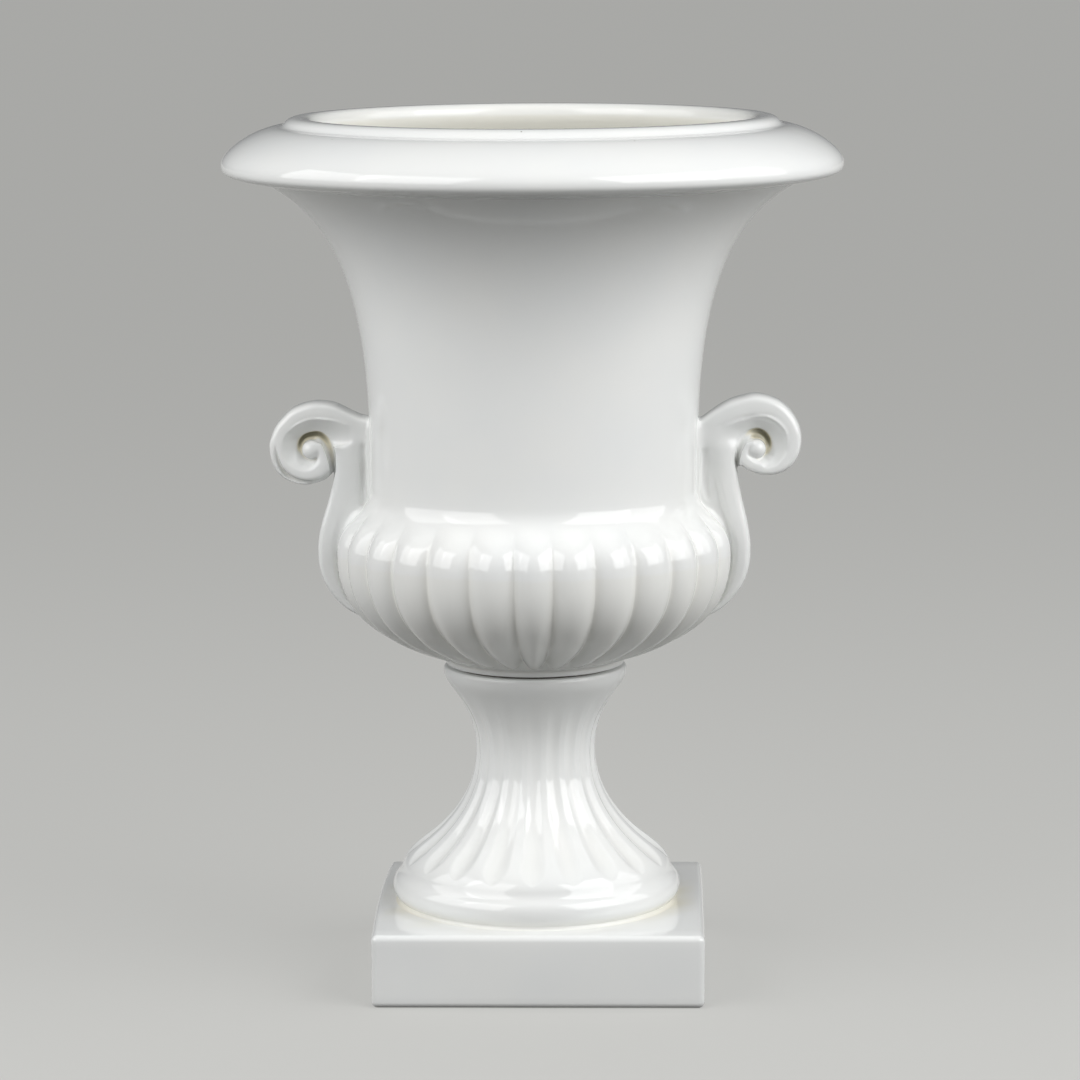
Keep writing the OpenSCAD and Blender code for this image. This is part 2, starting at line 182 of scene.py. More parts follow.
def grainedMaterial(name, light, dark, grainMm, roughness, spread=0.06, metallic=0.0, bumpMm=0.02):
    # two tones on a grain of real size, which also raises the surface and varies its gloss
    material, tree = newMaterial(name)
    place = addNode(tree, "TexCoord").outputs["Object"]
    pattern = {"Vector": place, "Scale": 1000 / grainMm, "Detail": 3.0}
    grain = addNode(tree, "TexNoise", inputs=pattern).outputs["Fac"]
    shades = {"Factor": grain, "A": linear(light), "B": linear(dark)}
    colour = addNode(tree, "Mix", {"data_type": "RGBA"}, shades)
    bump = addNode(tree, "Bump", inputs={"Height": grain, "Distance": bumpMm * mm})
    span = {"Value": grain, "To Min": roughness - spread, "To Max": roughness + spread}
    rough = addNode(tree, "MapRange", inputs=span)
    finish = {
        "Base Color": colour.outputs["Result"],
        "Roughness": rough.outputs["Result"],
        "Metallic": metallic,
        "Normal": bump.outputs["Normal"],
    }
    shader = addNode(tree, "BsdfPrincipled", inputs=finish)
    addNode(tree, "OutputMaterial", inputs={"Surface": shader.outputs["BSDF"]})
    return material


whiteGlaze = glazedEarthenware()
# dry fired clay under the plinth, wiped free of glaze: matt and a little sandy
bareEarthenware = grainedMaterial("bareEarthenware", "D9D3C6", "C4BBA9", 1.2, 0.85, bumpMm=0.06)
# cork ground into a dark binder: its edge shows as a dry dark line in the joint
pressedCork = grainedMaterial("pressedCork", "6B6158", "38332E", 1.6, 0.9, bumpMm=0.15)
# moulded nitrile rubber: black with a dull sheen
mouldedRubber = grainedMaterial("mouldedRubber", "26262A", "18181A", 0.8, 0.6)
# zinc-plated steel: bright and faintly cloudy
zincPlatedSteel = grainedMaterial("zincPlatedSteel", "C9CCD0", "A9ADB2", 2.5, 0.32, metallic=1.0)


# Tools for the meshes


def objectOf(data, name):
    # puts a mesh, a lamp or a camera in the scene
    made = bpy.data.objects.new(name, data)
    bpy.context.scene.collection.objects.link(made)
    return made


def finishPiece(bm, name, nodes, materials, sharp=42):
    # closes up the mesh, turns it to metres and rides it on the body
    bmesh.ops.remove_doubles(bm, verts=bm.verts, dist=0.002)
    bmesh.ops.recalc_face_normals(bm, faces=bm.faces)
    bmesh.ops.scale(bm, verts=bm.verts, vec=(mm, mm, mm))
    mesh = bpy.data.meshes.new(name)
    bm.to_mesh(mesh)
    bm.free()
    for material in materials:
        mesh.materials.append(material)
    mesh.shade_smooth()
    mesh.set_sharp_from_angle(angle=math.radians(sharp))
    piece = objectOf(mesh, name)
    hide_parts(*nodes)
    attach(piece, "root")


def spinLine(bm, line, steps, angle=fullTurn, closed=True):
    # joins points to a line and spins it about the vertical axis
    edges = [bm.edges.new(pair) for pair in zip(line, line[1:] + (line[:1] if closed else []))]
    bmesh.ops.spin(
        bm,
        geom=line + edges,
        cent=(0, 0, 0),
        axis=(0, 0, 1),
        angle=angle,
        steps=steps,
        use_merge=angle == fullTurn,
    )


def turned(rows, steps):
    # a closed line of (radius, height) spun full round; each point keeps its row number
    bm = bmesh.new()
    rowOf = bm.verts.layers.int.new("row")
    poolOf = bm.verts.layers.float.new("pool")
    line = []
    for i, row in enumerate(rows):
        v = bm.verts.new((row[0], 0, row[1]))
        v[rowOf] = i
        line.append(v)
    spinLine(bm, line, steps)
    return bm, rowOf, poolOf


def outward(rows, i):
    # unit normal of the line at a row, on its outer side where it rises
    a, b = rows[max(i - 1, 0)], rows[min(i + 1, len(rows) - 1)]
    d = Vector((b[0] - a[0], b[1] - a[1]))
    return (d.y / d.length, -d.x / d.length) if d.length else (1.0, 0.0)


def lengths(rows):
    total = [0.0]
    for a, b in zip(rows, rows[1:]):
        total.append(total[-1] + math.hypot(b[0] - a[0], b[1] - a[1]))
    return total


def helperObject(bm, name):
    mesh = bpy.data.meshes.new(name)
    bmesh.ops.recalc_face_normals(bm, faces=bm.faces)
    bm.to_mesh(mesh)
    bm.free()
    return objectOf(mesh, name)


def cutWith(helper, tool, solver):
    cut = helper.modifiers.new(tool.name, "BOOLEAN")
    cut.operation, cut.solver, cut.object = "DIFFERENCE", solver, tool


def evaluatedMesh(helper):
    bpy.context.view_layer.update()
    return bpy.data.meshes.new_from_object(helper.evaluated_get(bpy.context.evaluated_depsgraph_get()))


# Vessel: ring, gadrooned belly, neck, seat and lip

vesselSize = {
    "jointH": 139.0,  # above the ground
    "ringR": 39.5,
    "ringH": 3.0,
    "ringEdge": 1.0,
    "ringFillet": [(0.0, 1.8, 0.1), (0.1, 2.5, 0.15)],  # beyond the ring, height, pooled glaze
    "ringGap": 0.5,  # from the ring to the foot of the belly
    "bellyR": 88.0,
    "bellyH": 51.0,
    "shoulderH": 79.0,
    "neckR": 72.0,
    "neckHollow": 0.8,
    "seatR": 117.0,
    "seatH": 213.4,
    "height": 241.0,
    # the middle points that pull each curve, as shares of its width and height
    "bellyPull": (0.71, 0.21, 0.5),
    "shoulderPull": (0.64, 0.5),
    "neckPull": (0.55, 0.185, 0.86),
    # the lip's three arcs: radius and depth below the top
    "lipFoot": [(110.0, 3.88), (108.6, 3.8), (108.0, 3.1), (107.4, 2.4)],
    "lipOuter": [(107.4, 2.4), (106.5, 1.1), (105.0, 0.0), (102.2, 0.0)],
    "lipInner": [(99.6, 0.0), (97.2, 0.0), (95.5, 1.4), (95.5, 4.5)],
    "throat": (98.5, 227.7),
    "throatDepth": 6.0,
    "throatLowH": 220.5,
    "wall": 6.5,
    "seatWall": 7.8,
    "thickening": 20.0,  # radius over which the wall grows to that of the seat
    "bowlCorner": (66.0, 18.6),
    "bowlLowH": 30.8,
    "bowlSlack": 2.0,
    "floor": 9.0,
    "floorR": 36.0,
    "bore": 4.8,
    "bellyPool": 0.1,  # pooled glaze, as a share of a thin pool
    "lipPool": 0.1,
    "insidePool": 0.3,
    "wave": 0.18,
    "waveForm": (2.2, 38.0),
    "bellyRows": 38,
    "shoulderRows": 26,
    "neckRows": 26,
}
gadroonSize = {
    "count": 28,
    "turn": 0.53,  # degrees that the middle gadroon lies to the right of the front
    # degrees that the grooves strayed, from the one beside the sixth gadroon on the left rightwards
    "strayed": [0, 0.4, 0, 0.5, 1.1, 1.5, 0, -0.4, -0.5, -0.1, -1.0, 0],
    "depth": 3.1,
    "deepFrom": 0.12,  # share of the belly's curve, as are the tips' places below
    "tipStart": 0.035,
    "tipLength": 0.085,
    "tipRows": 14,
    "tipFineness": 90,
    "tipsDone": 0.15,
    "softness": 0.12,  # how round the glaze leaves the bottom of a groove
    "fadeFrom": 0.1,  # share of the shoulder's curve, as the next one
    "fadeTo": 0.78,
    "columns": 16,
    "crowding": 0.2,  # draws the columns towards the grooves
    "pool": 0.1,
    "poolFrom": 0.55,  # share of the depth
}


def gadroonRelief(s, width):
    # height of a gadroon above its groove, as a share, at s from -1 to 1 across it
    if width <= 0.02 or abs(s) >= width:
        return 0.0
    q = 1 - (s / width) ** 2
    e = gadroonSize["softness"]
    return (math.sqrt(q * q + e * e) - e) / (math.sqrt(1 + e * e) - e)


def bellyCurve():
    v = vesselSize
    low = v["ringR"] + v["ringGap"]
    outPull, lowPull, highPull = v["bellyPull"]
    return [
        (low, v["ringH"]),
        (mix(low, v["bellyR"], outPull), mix(v["ringH"], v["bellyH"], lowPull)),
        (v["bellyR"], mix(v["ringH"], v["bellyH"], highPull)),
        (v["bellyR"], v["bellyH"]),
    ]


def shoulderCurve():
    v = vesselSize
    outerPull, innerPull = v["shoulderPull"]
    return [
        (v["bellyR"], v["bellyH"]),
        (v["bellyR"], mix(v["bellyH"], v["shoulderH"], outerPull)),
        (v["neckR"], mix(v["bellyH"], v["shoulderH"], innerPull)),
        (v["neckR"], v["shoulderH"]),
    ]


def neckCurve():
    v = vesselSize
    lowPull, outPull, highPull = v["neckPull"]
    return [
        (v["neckR"], v["shoulderH"]),
        (v["neckR"] - v["neckHollow"], mix(v["shoulderH"], v["seatH"], lowPull)),
        (mix(v["neckR"], v["seatR"], outPull), mix(v["shoulderH"], v["seatH"], highPull)),
        (v["seatR"], v["seatH"]),
    ]


def insideLine():
    # from the mouth down to the floor
    v = vesselSize
    mouthR, seatIn = v["lipInner"][-1][0], v["seatR"] - v["seatWall"]
    throat = [(mouthR, v["height"] - v["throatDepth"]), v["throat"]]
    line = curve(throat + [(v["seatR"] - v["wall"], v["throatLowH"]), (seatIn, v["seatH"])], 7)
    for r, z in reversed(curve(neckCurve(), 14)[:-1]):
        line.append((r - mix(v["wall"], v["seatWall"], ease((r - v["neckR"]) / v["thickening"])), z))
    bowlR = v["bellyR"] - v["wall"] - v["bowlSlack"]
    for r, z in reversed(curve(shoulderCurve(), 9)[:-1]):
        line.append((min(r - v["wall"], bowlR), z))
    bowl = [(v["floorR"], v["floor"]), v["bowlCorner"], (bowlR, v["bowlLowH"]), (bowlR, v["bellyH"])]
    line += reversed(curve(bowl, 12)[:-1])
    return line + [(v["bore"], v["floor"])]


def vesselRows():
    # each row is (radius, height, groove depth, gadroon width, pooled glaze)
    v, g = vesselSize, gadroonSize
    ring, edge = v["ringR"], v["ringEdge"]
    corner = [(ring - edge, 0), (ring - 0.4 * edge, 0), (ring, 0.4 * edge), (ring, edge)]
    rows = [(v["bore"], 0, 0, 0, 0)] + [(r, z, 0, 0, 0) for r, z in curve(corner, 4)]
    rows += [(ring + beyond, z, 0, 0, pool) for beyond, z, pool in v["ringFillet"]]
    # the rows are closer together round the tips of the gadroons
    steps = [i / g["tipFineness"] for i in range(g["tipRows"])]
    steps += [mix(g["tipsDone"], 1, i / v["bellyRows"]) for i in range(1, v["bellyRows"])]
    for t in steps:
        r, z = bezier(bellyCurve(), t)
        width = roundEnd((t - g["tipStart"]) / g["tipLength"])
        rows.append((r, z, g["depth"] * ease(t / g["deepFrom"]), width, v["bellyPool"]))
    for i in range(v["shoulderRows"] + 1):
        t = i / v["shoulderRows"]
        r, z = bezier(shoulderCurve(), t)
        fade = 1 - rise(t, g["fadeFrom"], g["fadeTo"])
        rows.append((r, z, g["depth"] * fade, 1.0, 0.0))
    rows += [(r, z, 0, 0, 0) for r, z in curve(neckCurve(), v["neckRows"], 1)]
    top = v["height"]
    lip = curve(v["lipFoot"], 5) + curve(v["lipOuter"], 8, 1) + v["lipInner"][:1]
    rows += [(r, top - down, 0, 0, 0) for r, down in lip]
    rows += [(r, top - down, 0, 0, v["lipPool"]) for r, down in curve(v["lipInner"], 9, 1)]
    return rows + [(r, z, 0, 0, v["insidePool"]) for r, z in insideLine()]


def gadroonPlace(angle):
    # the gadroon that an angle lies on, and how far across it, from -1 to 1
    g = gadroonSize
    place = (angle + math.pi / 2 - math.radians(g["turn"])) * g["count"] / fullTurn
    return round(place), 2 * (place - round(place))


def grooveStray(number):
    # how far the groove on a gadroon's right strayed, in radians
    strayed = gadroonSize["strayed"]
    k = number + len(strayed) // 2
    return math.radians(strayed[k]) if 0 <= k < len(strayed) else 0.0


def vesselPoint(row, normal, angle, s):
    r, z, depth, width = row[:4]
    sunk = depth * (1 - gadroonRelief(s, width))
    # the hand that trimmed the cast left the form a little uneven
    r += vesselSize["wave"] * wave(angle, z, vesselSize["waveForm"]) - sunk * normal[0]
    return (r * math.cos(angle), r * math.sin(angle), z - sunk * normal[1] + vesselSize["jointH"]), sunk


def makeVessel():
    rows, g = vesselRows(), gadroonSize
    bm, rowOf, poolOf = turned(rows, g["count"] * g["columns"])
    normals = [outward(rows, i) for i in range(len(rows))]
    for v in bm.verts:
        i = v[rowOf]
        number, u = gadroonPlace(math.atan2(v.co.y, v.co.x))
        s = u + g["crowding"] * math.sin(math.pi * u)
        angle = (number + s / 2) * fullTurn / g["count"] + math.radians(g["turn"]) - math.pi / 2
        angle += mix(grooveStray(number - 1), grooveStray(number), (s + 1) / 2)
        v.co, sunk = vesselPoint(rows[i], normals[i], angle, s)
        low = max(0.0, sunk / g["depth"] - g["poolFrom"])
        v[poolOf] = 0.5 * rows[i][4] + g["pool"] * low
    finishPiece(bm, "vesselBody", ["vessel"], [whiteGlaze])


def vesselSector(azimuth, halfAngle, heights, front, back):
    # a closed slice of the vessel's side between two depths under its glaze
    rows = vesselRows()
    first = next(i for i, row in enumerate(rows) if row[1] > heights[0])
    last = next(i for i, row in enumerate(rows) if row[1] > heights[1])
    normals = [outward(rows, i) for i in range(len(rows))]
    line = [(i, front) for i in range(first, last)] + [(i, back) for i in range(last - 1, first - 1, -1)]
    bm = bmesh.new()
    entryOf = bm.verts.layers.int.new("entry")
    start = azimuth - halfAngle
    points = []
    for k, (i, _) in enumerate(line):
        v = bm.verts.new((rows[i][0] * math.cos(start), rows[i][0] * math.sin(start), k))
        v[entryOf] = k
        points.append(v)
    columns = gadroonSize["count"] * gadroonSize["columns"]
    spinLine(bm, points, round(2 * halfAngle / fullTurn * columns), angle=2 * halfAngle)
    for v in bm.verts:
        i, depth = line[v[entryOf]]
        angle = math.atan2(v.co.y, v.co.x)
        place, _ = vesselPoint(rows[i], normals[i], angle, gadroonPlace(angle)[1])
        nr, nz = normals[i]
        v.co = Vector(place) - depth * Vector((nr * math.cos(angle), nr * math.sin(angle), nz))
    bmesh.ops.holes_fill(bm, edges=[e for e in bm.edges if e.is_boundary], sides=0)
    bmesh.ops.recalc_face_normals(bm, faces=bm.faces)
    return bm


# Rolled rim

rimSize = {
    "widest": 135.3,
    "widestH": 220.5,
    "underR": 130.6,  # pulls on the arc under the widest line
    "underRise": 2.5,
    "underDrop": 4.8,
    "overH": 227.2,  # pulls on the arc over it
    "overR": 120.0,
    "overDrop": 0.45,
    "steps": 300,
    "wave": 0.2,
    "waveForm": (1.8, 60.0),
    "waveR": (112.0, 124.0),  # the roll is even at the first radius and fully waved at the second
}


def makeRim():
    v, k = vesselSize, rimSize
    lipR, lipDepth = v["lipFoot"][0]
    top = v["height"] - lipDepth
    widest = (k["widest"], k["widestH"])
    under = [(v["seatR"], v["seatH"]), (k["underR"], v["seatH"] + k["underRise"])]
    under += [(k["widest"], k["widestH"] - k["underDrop"]), widest]
    over = [widest, (k["widest"], k["overH"]), (k["overR"], top - k["overDrop"]), (lipR, top)]
    rows = curve(under, 20) + curve(over, 44, 1)
    bm, rowOf, _ = turned(rows, k["steps"])
    for p in bm.verts:
        r, z = rows[p[rowOf]]
        angle = math.atan2(p.co.y, p.co.x)
        # only inward, so that the rim stays as wide as its solid
        r += min(k["wave"] * rise(r, *k["waveR"]) * wave(angle, z, k["waveForm"]), 0.0)
        p.co = (r * math.cos(angle), r * math.sin(angle), z + v["jointH"])
    finishPiece(bm, "rolledRim", ["rim_ring"], [whiteGlaze])


# Fluted foot

footSize = {
    "ground": 32.0,
    "height": 106.0,
    "beadR": 63.8,
    "beadRound": 7.2,
    "beadFrom": -52,  # degrees of the bead's round that show, from below to above
    "beadTo": 46,
    "skirt": [(62.6, 0.0), (61.6, 0.05), (60.9, 0.5)],  # where the bead's glaze ran onto the plinth
    "joining": [(60.6, 13.5), (59.9, 14.6)],  # where the bead runs into the ribs
    "ribFrom": 0.11,  # share of the ribs' first arc
    "ribR": 59.8,
    "turn": (0.365, 0.27),  # where the ribs turn up, as shares of the way in and up to the waist
    "waistR": 26.4,
    "waistH": 68.0,
    "flare": (0.72, 0.737),  # where the waist has flared, as shares of the way out and up to the top
    "collarR": 40.4,
    "collarEdge": 1.8,
    "topR": 39.2,
    # the two points that pull each arc: how far outward and above its start and its end they lie
    "ribPulls": [(-0.2, 5.7888), (5.0, -4.0)],
    "lowPulls": [(-12.5, 10.0), (0.0, -16.0)],
    "highPulls": [(0.0, 11.0), (-6.7, -9.0)],
    "collarPulls": [(2.0, 2.7), (0.0, -3.2)],
    "edgePulls": [(0.0, 1.2), (0.7, 0.0)],
    "flutes": 20,
    "fluteDepth": 2.1,
    "waistDepth": 0.3,  # share of the depth that is left at the waist
    "fluteShare": 0.7,  # of the pitch
    "columns": 20,
    "lowStart": 3.0,  # from the first rib row to a flute's lower end
    "lowEnd": 10.0,  # length of a flute's rounded lower end
    "lowFade": (0.25, 0.55),  # share of the depth where that end starts, and its growth along it
    "highStart": 0.5,
    "highEnd": 7.0,
    "highFade": 0.3,
    "fluteForm": 1.3,  # power of a flute's round section
    "bore": 4.8,
    "plate": 8.0,
    "hollowR": 19.4,
    "hollowLow": [(50.8, 0.0), (48.8, 20.0)],
    "hollowLowH": (35.6, 66.0),
    "hollowHigh": [(0.0, 77.5), (4.6, 90.0)],  # beyond the hollow's radius, height
    "hollowFlare": 6.0,
    "wave": 0.12,
    "waveForm": (2.4, 25.0),
    "waveFrom": 6.0,  # height at which the foot is fully waved
    "pool": 0.06,
    "sidePool": 0.22,  # more glaze pooled at the sides than at the front
    "flutePool": 0.03,
    "poolH": (0.5, 5.5),  # heights between which the pool thins out
}


def footCurves():
    # the five arcs from the bead to the joint
    f = footSize
    rib, waist, top = (f["ribR"], 2 * f["beadRound"]), (f["waistR"], f["waistH"]), (f["topR"], f["height"])
    turn = [mix(a, b, share) for a, b, share in zip(rib, waist, f["turn"])]
    flare = [mix(a, b, share) for a, b, share in zip(waist, (f["collarR"], f["height"]), f["flare"])]
    edge = (f["collarR"], f["height"] - f["collarEdge"])
    places = [rib, turn, waist, flare, edge, top]
    arcs = []
    for name, start, end in zip(("rib", "low", "high", "collar", "edge"), places, places[1:]):
        (a, b), (c, d) = f[name + "Pulls"]
        arcs.append([start, (start[0] + a, start[1] + b), (end[0] + c, end[1] + d), end])
    return arcs


def footLine():
    # the outside from the plinth to the joint, and the places of the first and the last fluted row
    f = footSize
    rib, low, high, collar, edge = footCurves()
    r = f["beadRound"]
    bead = []
    for i in range(21):
        a = math.radians(mix(f["beadFrom"], f["beadTo"], i / 20))
        bead.append((f["beadR"] - r + r * math.cos(a), r + r * math.sin(a)))
    line = curve(f["skirt"] + [bead[0]], 5) + bead[1:]
    line += curve([bead[-1]] + f["joining"] + [bezier(rib, f["ribFrom"])], 6, 1)
    start = len(line) - 1
    line += [bezier(rib, mix(f["ribFrom"], 1, i / 30)) for i in range(1, 31)]
    line += curve(low, 26, 1) + curve(high, 22, 1)
    end = len(line)
    return line + curve(collar, 12, 1) + curve(edge, 4, 1), start, end


def footHollow():
    f = footSize
    r, plateH = f["hollowR"], f["height"] - f["plate"]
    turnH, waistH = f["hollowLowH"]
    line = curve(f["hollowLow"] + [(r, turnH), (r, waistH)], 10)
    high = [(r + beyond, z) for beyond, z in f["hollowHigh"]]
    line += curve([(r, waistH)] + high + [(r + f["hollowFlare"], plateH)], 7, 1)
    return [(f["bore"], f["height"]), (f["bore"], plateH)] + line[::-1]


def makeFoot():
    f = footSize
    profile, start, end = footLine()
    count = len(profile)
    total = lengths(profile)
    lowPlace, highPlace = total[start] + f["lowStart"], total[end - 1] + f["highStart"]
    lowFrom, lowGrowth = f["lowFade"]
    rows = profile + footHollow()
    bm, rowOf, poolOf = turned(rows, f["flutes"] * f["columns"])
    normals = [outward(profile, i) for i in range(count)]
    for v in bm.verts:
        i = v[rowOf]
        r, z = rows[i]
        angle = math.atan2(v.co.y, v.co.x)
        place = (angle + math.pi / 2) * f["flutes"] / fullTurn
        s = 2 * (place - round(place)) / f["fluteShare"]
        sunk, pool = 0.0, 0.0
        if start <= i < end:
            ends = [(total[i] - lowPlace) / f["lowEnd"], (highPlace - total[i]) / f["highEnd"]]
            width = min(roundEnd(e) for e in ends)
            if width > 0.03 and abs(s) < width:
                share = (r - f["waistR"]) / (f["ribR"] - f["waistR"])
                fade = min(ease(lowFrom + ends[0] * lowGrowth), ease(ends[1] * f["highFade"]))
                hollow = (1 - (s / width) ** 2) ** f["fluteForm"]
                sunk = f["fluteDepth"] * mix(f["waistDepth"], 1, share) * fade * hollow
        if i < count:
            sides = abs(math.cos(angle)) ** 3
            pool = (f["pool"] + f["sidePool"] * sides) * (1 - rise(z, *f["poolH"]))
            pool += f["flutePool"] * sunk / f["fluteDepth"]
            nr, nz = normals[i]
            r += f["wave"] * wave(angle, z, f["waveForm"]) * ease(z / f["waveFrom"]) - sunk * nr
            z -= sunk * nz
        v.co = (r * math.cos(angle), r * math.sin(angle), z + f["ground"])
        v[poolOf] = pool
    finishPiece(bm, "flutedFoot", ["foot"], [whiteGlaze])


# Plinth

plinthSize = {
    "side": 144.6,
    "height": 32.0,
    "offset": 2.4,
    "wall": 8.0,
    "edge": 3.4,
    "insideEdge": 2.5,
    "access": 46.0,
    "bow": 1.5,  # how far the left side bows out
    "slack": 0.35,  # how far the sides lie within the straight ones, on average
    "slackWave": (60.0, 40.0),  # length of that unevenness, along a side and up it
    "cells": 12,
    "poolR": 64.5,
    "poolWide": 2.6,
    "pool": 0.06,
    "sidePool": 0.3,
}


def boxOf(bm, low, high):
    made = bmesh.ops.create_cube(bm, size=1)["verts"]
    bmesh.ops.scale(bm, verts=made, vec=Vector(high) - Vector(low))
    bmesh.ops.translate(bm, verts=made, vec=(Vector(low) + Vector(high)) / 2)


def softenEdges(bm, edges, radius, segments):
    bmesh.ops.bevel(
        bm,
        geom=edges,
        offset=radius,
        segments=segments,
        profile=0.5,
        affect="EDGES",
        material=-1,
        clamp_overlap=True,
    )


def makePlinth():
    p = plinthSize
    half, height = p["side"] / 2, p["height"]
    wide, high = p["slackWave"]
    bm = bmesh.new()
    boxOf(bm, (-half, -half, 0), (half, half, height))
    bmesh.ops.subdivide_edges(bm, edges=bm.edges, cuts=p["cells"] - 1, use_grid_fill=True)
    softenEdges(bm, [e for e in bm.edges if e.calc_face_angle(0) > 1], p["edge"], 7)
    for v in bm.verts:
        x, y, z = v.co
        inward = p["slack"] * (1 + noise.noise(Vector((x / wide, y / wide, z / high))))
        bowed = p["bow"] * max(0.0, -x / half) * (1 - (y / half) ** 2) * ease(z / height)
        v.co.x += (bowed - inward) * x / half
        v.co.y -= inward * y / half
    block = helperObject(bm, "plinthBlock")
    bm = bmesh.new()
    inside = half - p["wall"]
    boxOf(bm, (-inside, -inside, -5), (inside, inside, height - p["wall"]))
    softenEdges(bm, bm.edges[:], p["insideEdge"], 4)
    hollow = helperObject(bm, "plinthHollow")
    bm = bmesh.new()
    r = p["access"]
    bmesh.ops.create_cone(bm, cap_ends=True, segments=128, radius1=r, radius2=r, depth=60)
    bmesh.ops.translate(bm, verts=bm.verts, vec=(-p["offset"], 0, height))
    access = helperObject(bm, "plinthAccess")
    cutWith(block, hollow, "EXACT")
    cutWith(block, access, "EXACT")
    mesh = evaluatedMesh(block)
    for helper in (block, hollow, access):
        bpy.data.objects.remove(helper)
    bm = bmesh.new()
    bm.from_mesh(mesh)
    bmesh.ops.translate(bm, verts=bm.verts, vec=(p["offset"], 0, 0))
    poolOf = bm.verts.layers.float.new("pool")
    for v in bm.verts:
        r = math.hypot(v.co.x, v.co.y)
        if v.co.z > height - 1:
            # glaze pooled in a ring round the foot, most of it at the foot's two sides
            ring = math.exp(-(((r - p["poolR"]) / p["poolWide"]) ** 2))
            v[poolOf] = ring * (p["pool"] + p["sidePool"] * (v.co.x / r) ** 4)
    for face in bm.faces:
        # only the edge that stands on the ground is bare
        under = face.normal.z < -0.9 and face.calc_center_median().z < 1
        face.material_index = 1 if under else 0
    finishPiece(bm, "squarePlinth", ["plinth"], [whiteGlaze, bareEarthenware], sharp=50)


# Scroll handles

handleSize = {
    "eyeR": 97.5,  # distance of the eye from the axis
    "eyeH": 95.5,
    "eye": 4.2,
    "eyeLift": 0.1,
    "eyeSunk": 5.5,  # depth of the middle of the ball that shows as the eye
    "halfWide": 9.4,
    "above": 26.0,  # from the eye to the top of the slip on the neck
    "lowest": 12.0,
    "strapFrom": 0.3,  # share of the belly's curve
    "strapRows": 30,  # on the belly, and again above it
    "strapHalf": (0.6, 4.2, 5.3),  # half its thickness at the lower end, on the belly and at the top
    "strapTip": 0.75,  # share of its width that is left at the lower end
    # first and last row, from the lower end up, and from the top of the belly up for the last one
    "strapThickens": (3, 27),
    "strapComesOut": (0, 14),
    "strapWidens": (0, 12),
    "strapSwells": (0, 24),
    "strapSunk": 2.6,  # depth of the lower end under the glaze
    "strapLaid": 1.2,  # how far the strap's back lies in the belly
    "strapRise": [(91.0, 51.0), (91.0, 65.0)],
    "strapTurnH": 71.0,
    "skirt": 0.1,  # how far the slip round the handle lies under the vessel's glaze
    "skirtBack": 3.4,
    "skirtAngle": 11.2,
    "clearFrom": 0.8,  # the handle is cut away in the wall, from this depth to the next
    "clearTo": 5.2,
    "clearAngle": 14.0,
    "clearBeyond": 4.0,  # below the lowest slip and above the highest
    "cutterOut": 0.2,  # from the face to the middle of a cutter
    # slip drawn up in the corners with the neck
    "corner": [(-26.2, -27, 0.6, 0.6), (-26, -20, 1.5, 1.7), (-25.8, -8, 1.7, 2), (-25.8, 4, 1.9, 2.2),
               (-25.8, 10, 1.9, 2.2), (-26.4, 14.5, 0.8, 0.9)],
    "cornerAcross": 7.6,
    # floor of the volute: share of its reach, half its width
    "floorLine": [(0, 3), (0.3, 2.4), (0.4, 3.2), (0.52, 5.6), (0.66, 7.8), (0.8, 8.7), (1, 8.8)],
    # degrees round the eye and the floor's reach, where the roll is open
    "floorStart": [(-200, 4.5), (-170, 5.5)],
    "floorEnd": [(125, 13.5), (155, 8.5), (200, 4.5)],
    "blendWhole": 0.3,  # share of a blend's reach in which it is whole
    # deep pooled glaze with painted shade starts at the first value and is full at the second
    "poolShadeUnder": (5.0, 8.0),  # depth under the face
    "poolShadeRound": (12.0, 8.0),  # distance from a point beside the eye
    "poolShadeBeside": 1.0,
    "scrollOut": (-20.0, -16.0),  # where the scroll starts and is whole, outward from the eye
    "scrollUp": (-20.0, -14.0),  # and above it
    "thinPools": (0.12, 0.6),  # in hollows below the scroll and in it
    "hollowPools": (0.1, 1.3),  # depth of a hollow in which glaze starts to pool, and does fully
    "voxel": 0.42,
    "softening": 6,
    "hollowSoftening": 70,
    "runSoftening": 250,
}
